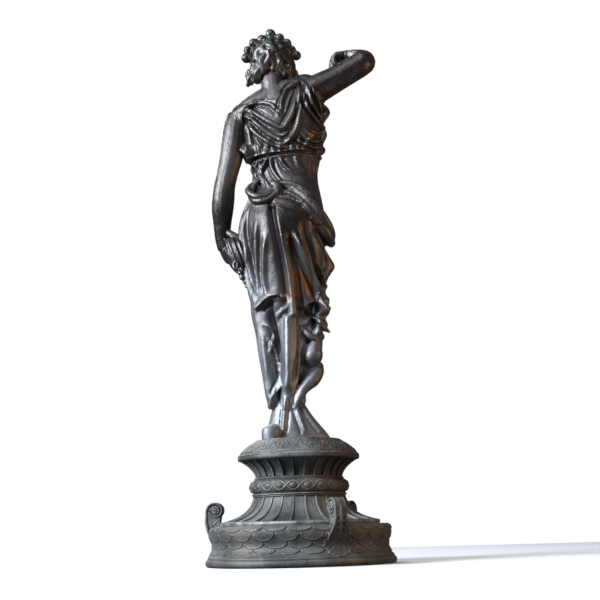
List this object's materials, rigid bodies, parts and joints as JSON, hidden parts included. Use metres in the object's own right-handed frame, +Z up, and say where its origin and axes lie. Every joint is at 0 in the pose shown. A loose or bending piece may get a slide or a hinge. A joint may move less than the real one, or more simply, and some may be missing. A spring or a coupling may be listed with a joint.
{
  "type": "bronze female statue",
  "caption": "Standing draped female figure in cast bronze, one arm raised to shade the eyes, on a round fluted plinth with scroll brackets.",
  "frame": {"origin": "centre of the plinth's underside, on the surface it stands on", "axes": "+Z up, the figure faces +Y with its raised right arm on the +X side"},
  "size_m": [0.336, 0.336, 1.0032],
  "materials": {
    "figure_bronze": "near-black brown bronze patina, semi-gloss, worn lighter on the high folds",
    "plinth_bronze": "grey-brown bronze patina, matt and dusty"
  },
  "bodies": {
    "root": {"figure": "figure_bronze", "fluted_socle": "plinth_bronze", "base_drum": "plinth_bronze", "scroll_bracket_1": "plinth_bronze", "scroll_bracket_2": "plinth_bronze", "scroll_bracket_3": "plinth_bronze"}
  },
  "joints": []
}
